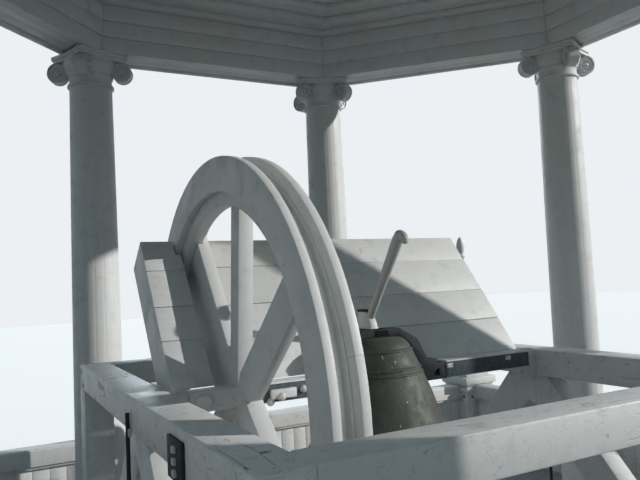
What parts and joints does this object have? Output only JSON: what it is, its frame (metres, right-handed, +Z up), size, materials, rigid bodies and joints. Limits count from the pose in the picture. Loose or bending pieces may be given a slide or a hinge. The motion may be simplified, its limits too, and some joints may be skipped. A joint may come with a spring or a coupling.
{
  "type": "open wooden belfry with a wheel-hung bell",
  "caption": "Open octagonal wooden belfry on a square railed deck, with columns, stepped ceiling, low roof, timber bell frame, grooved bell wheel, arched yoke and tilted board cover.",
  "frame": {"origin": "centre of the deck's underside", "axes": "+Z up, +X along the bell's axle away from the wheel, +Y towards the tilted cover behind the bell"},
  "size_m": [6, 6, 4.9102],
  "materials": {
    "painted_wood": "old white oil paint on boards and turned wood, with fine cracks and flaking",
    "frame_timber": "white paint on sawn heavy timber, weathered, with checks along the grain",
    "deck_paint": "pale grey painted deck boards",
    "roof_sheet": "dull grey painted seamed sheet",
    "painted_iron": "white paint over cast iron, with rust at the edges",
    "black_iron": "black painted cast iron, slightly glossy",
    "bell_bronze": "dark weathered bronze with pale specks"
  },
  "bodies": {
    "belfry": {"deck": "deck_paint", "parapet_front": "painted_wood", "parapet_back": "painted_wood", "parapet_left": "painted_wood", "parapet_right": "painted_wood", "pedestal_1": "painted_wood", "pedestal_2": "painted_wood", "pedestal_3": "painted_wood", "pedestal_4": "painted_wood", "corner_urns": "painted_wood", "column_1": "painted_wood", "column_2": "painted_wood", "column_3": "painted_wood", "column_4": "painted_wood", "column_5": "painted_wood", "column_6": "painted_wood", "column_7": "painted_wood", "column_8": "painted_wood", "capitals": "painted_wood", "ring_beam": "painted_wood", "cornice": "painted_wood", "ceiling": "painted_wood", "roof": "roof_sheet", "sills": "frame_timber", "posts": "frame_timber", "braces_left": "frame_timber", "braces_right": "frame_timber", "bearer_left": "frame_timber", "bearer_right": "frame_timber", "cross_beams": "frame_timber", "end_rails": "frame_timber", "iron_straps": "black_iron", "bearing_left": "painted_iron", "bearing_right": "painted_iron", "cover_left": "painted_wood", "cover_right": "painted_wood", "cover_rail": "painted_wood"},
    "swinging_bell": {"bell": "bell_bronze", "yoke": "black_iron", "axle_left": "frame_timber", "axle_right": "frame_timber", "wheel_rim": "painted_wood", "wheel_spokes": "painted_wood", "lever": "painted_wood", "clapper": "black_iron"}
  },
  "joints": [
    {"name": "bell_swing", "type": "hinge", "parent": "belfry", "child": "swinging_bell", "pos_m": [-0.075, 0.025, 1.412], "axis": [1, 0, 0], "range_deg": [-45, 45]}
  ]
}
